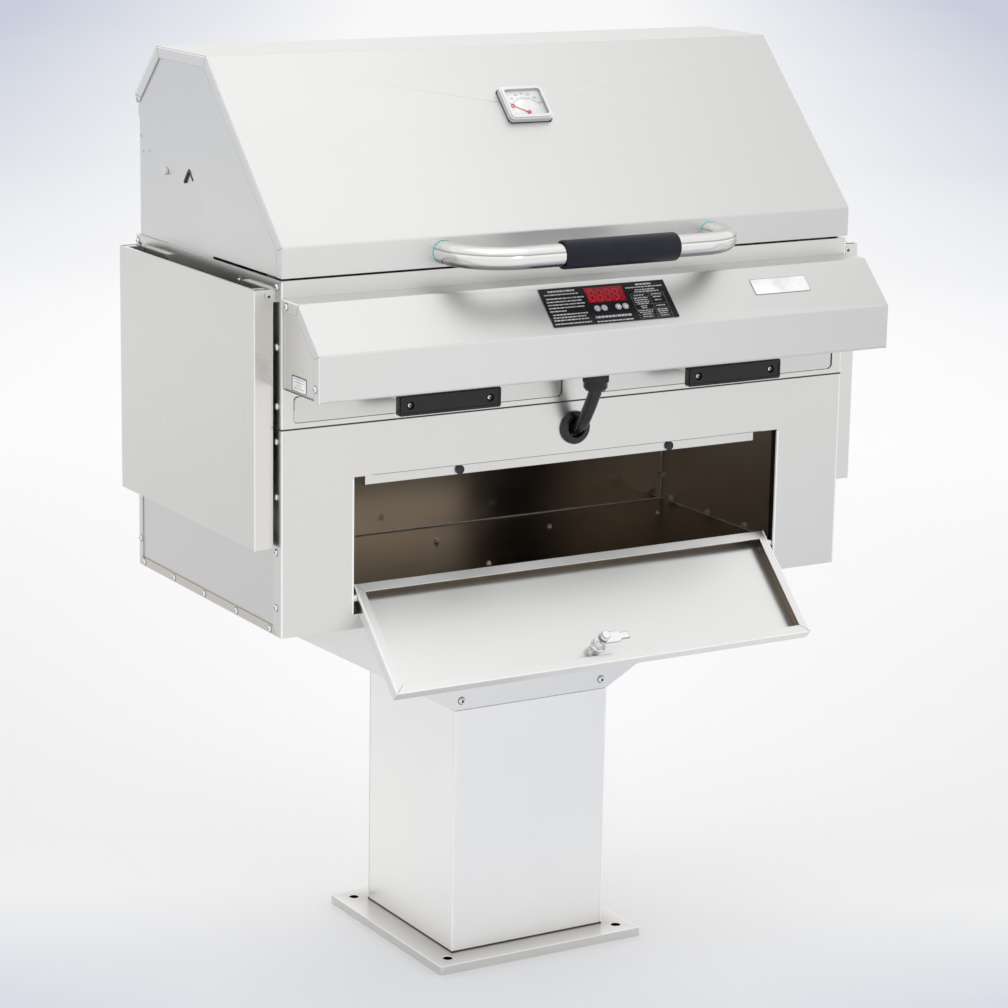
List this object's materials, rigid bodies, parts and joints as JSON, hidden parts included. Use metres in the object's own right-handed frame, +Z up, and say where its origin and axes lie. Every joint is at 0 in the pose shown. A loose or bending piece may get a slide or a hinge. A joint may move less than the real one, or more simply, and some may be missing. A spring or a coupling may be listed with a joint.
{
  "type": "pedestal electric barbecue grill",
  "caption": "Square-column pedestal carrying a stainless electric barbecue with a hinged hood, control console, pull-out drip trays, folding side shelves and a locking cupboard.",
  "frame": {"origin": "centre of the base plate's underside, on the ground", "axes": "+X to the right of someone who faces the controls, -Y out of the front, +Z up the column"},
  "size_m": [0.871, 0.5079, 1.1689],
  "materials": {
    "steel": "satin",
    "bright_steel": "polished",
    "dark_steel": "heat-dulled",
    "rubber": "matt",
    "black_plastic": "matt",
    "grip": "matt",
    "dial": "matt",
    "red_plastic": "gloss",
    "overlay": "satin",
    "button_cap": "matt"
  },
  "bodies": {
    "frame": {"base_plate": "steel", "pedestal_column": "steel", "cradle_front_plate": "steel", "cradle_rear_plate": "steel", "right_cradle_panel": "steel", "left_cradle_panel": "steel", "cabinet_floor": "steel", "right_cabinet_side": "steel", "left_cabinet_side": "steel", "cabinet_back": "steel", "cabinet_front": "steel", "heat_shield": "steel", "door_stop_rail": "steel", "right_door_bumper": "rubber", "left_door_bumper": "rubber", "cable_grommet": "rubber", "right_door_pivot": "bright_steel", "left_door_pivot": "bright_steel", "firebox_front": "steel", "firebox_back": "steel", "right_firebox_side": "steel", "left_firebox_side": "steel", "tray_centre_rail": "steel", "firebox_liner": "dark_steel", "right_element": "dark_steel", "left_element": "dark_steel", "right_grate": "dark_steel", "left_grate": "dark_steel", "console_cover": "steel", "console_pan": "steel", "control_overlay": "overlay", "display_board": "red_plastic", "cable_gland": "black_plastic", "power_cable": "rubber", "hood_housing": "steel", "right_hinge_bolt": "bright_steel", "left_hinge_bolt": "bright_steel", "right_hood_pad": "rubber", "left_hood_pad": "rubber"},
    "hood": {"hood_wrap": "steel", "right_hood_end": "steel", "left_hood_end": "steel", "hood_handle": "bright_steel", "handle_grip": "grip", "gauge_bezel": "bright_steel", "gauge_dial": "dial"},
    "thermometer_pointer": {"gauge_needle": "red_plastic"},
    "door": {"door_pan": "steel", "latch_stud": "bright_steel"},
    "latch": {"latch_lever": "bright_steel"},
    "right_tray": {"right_tray_pan": "steel", "right_tray_pull": "black_plastic"},
    "left_tray": {"left_tray_pan": "steel", "left_tray_pull": "black_plastic"},
    "right_side_shelf": {"right_shelf": "steel"},
    "left_side_shelf": {"left_shelf": "steel"},
    "first_button": {"button_1": "button_cap"},
    "second_button": {"button_2": "button_cap"},
    "third_button": {"button_3": "button_cap"},
    "fourth_button": {"button_4": "button_cap"}
  },
  "joints": [
    {"name": "hood_hinge", "type": "hinge", "parent": "frame", "child": "hood", "pos_m": [0, 0.1138, 1.017], "axis": [-1, 0, 0], "range_deg": [0, 70]},
    {"name": "pointer_pivot", "type": "hinge", "parent": "hood", "child": "thermometer_pointer", "pos_m": [-0.0025, -0.08605, 1.09344], "axis": [0, 0.7073, -0.7069], "range_deg": [0, 120]},
    {"name": "door_hinge", "type": "hinge", "parent": "frame", "child": "door", "pos_m": [0, -0.19515, 0.5313], "axis": [-1, 0, 0], "range_deg": [0, 134]},
    {"name": "latch_turn", "type": "hinge", "parent": "door", "child": "latch", "pos_m": [-0.008, -0.29271, 0.46574], "axis": [0, 0.6955, -0.7185], "range_deg": [0, 90]},
    {"name": "right_tray_slide", "type": "slide", "parent": "frame", "child": "right_tray", "axis": [0, -1, 0], "range_m": [0, 0.3]},
    {"name": "left_tray_slide", "type": "slide", "parent": "frame", "child": "left_tray", "axis": [0, -1, 0], "range_m": [0, 0.3]},
    {"name": "right_shelf_hinge", "type": "hinge", "parent": "frame", "child": "right_side_shelf", "pos_m": [0.418, 0, 0.908], "axis": [0, -1, 0], "range_deg": [0, 90]},
    {"name": "left_shelf_hinge", "type": "hinge", "parent": "frame", "child": "left_side_shelf", "pos_m": [-0.418, 0, 0.908], "axis": [0, 1, 0], "range_deg": [0, 90]},
    {"name": "button_1_press", "type": "slide", "parent": "frame", "child": "first_button", "axis": [0, 0.701, -0.7131], "range_m": [0, 0.0005], "stiffness_N_per_m": 800, "springref_m": -0.0005},
    {"name": "button_2_press", "type": "slide", "parent": "frame", "child": "second_button", "axis": [0, 0.701, -0.7131], "range_m": [0, 0.0005], "stiffness_N_per_m": 800, "springref_m": -0.0005},
    {"name": "button_3_press", "type": "slide", "parent": "frame", "child": "third_button", "axis": [0, 0.701, -0.7131], "range_m": [0, 0.0005], "stiffness_N_per_m": 800, "springref_m": -0.0005},
    {"name": "button_4_press", "type": "slide", "parent": "frame", "child": "fourth_button", "axis": [0, 0.701, -0.7131], "range_m": [0, 0.0005], "stiffness_N_per_m": 800, "springref_m": -0.0005}
  ]
}
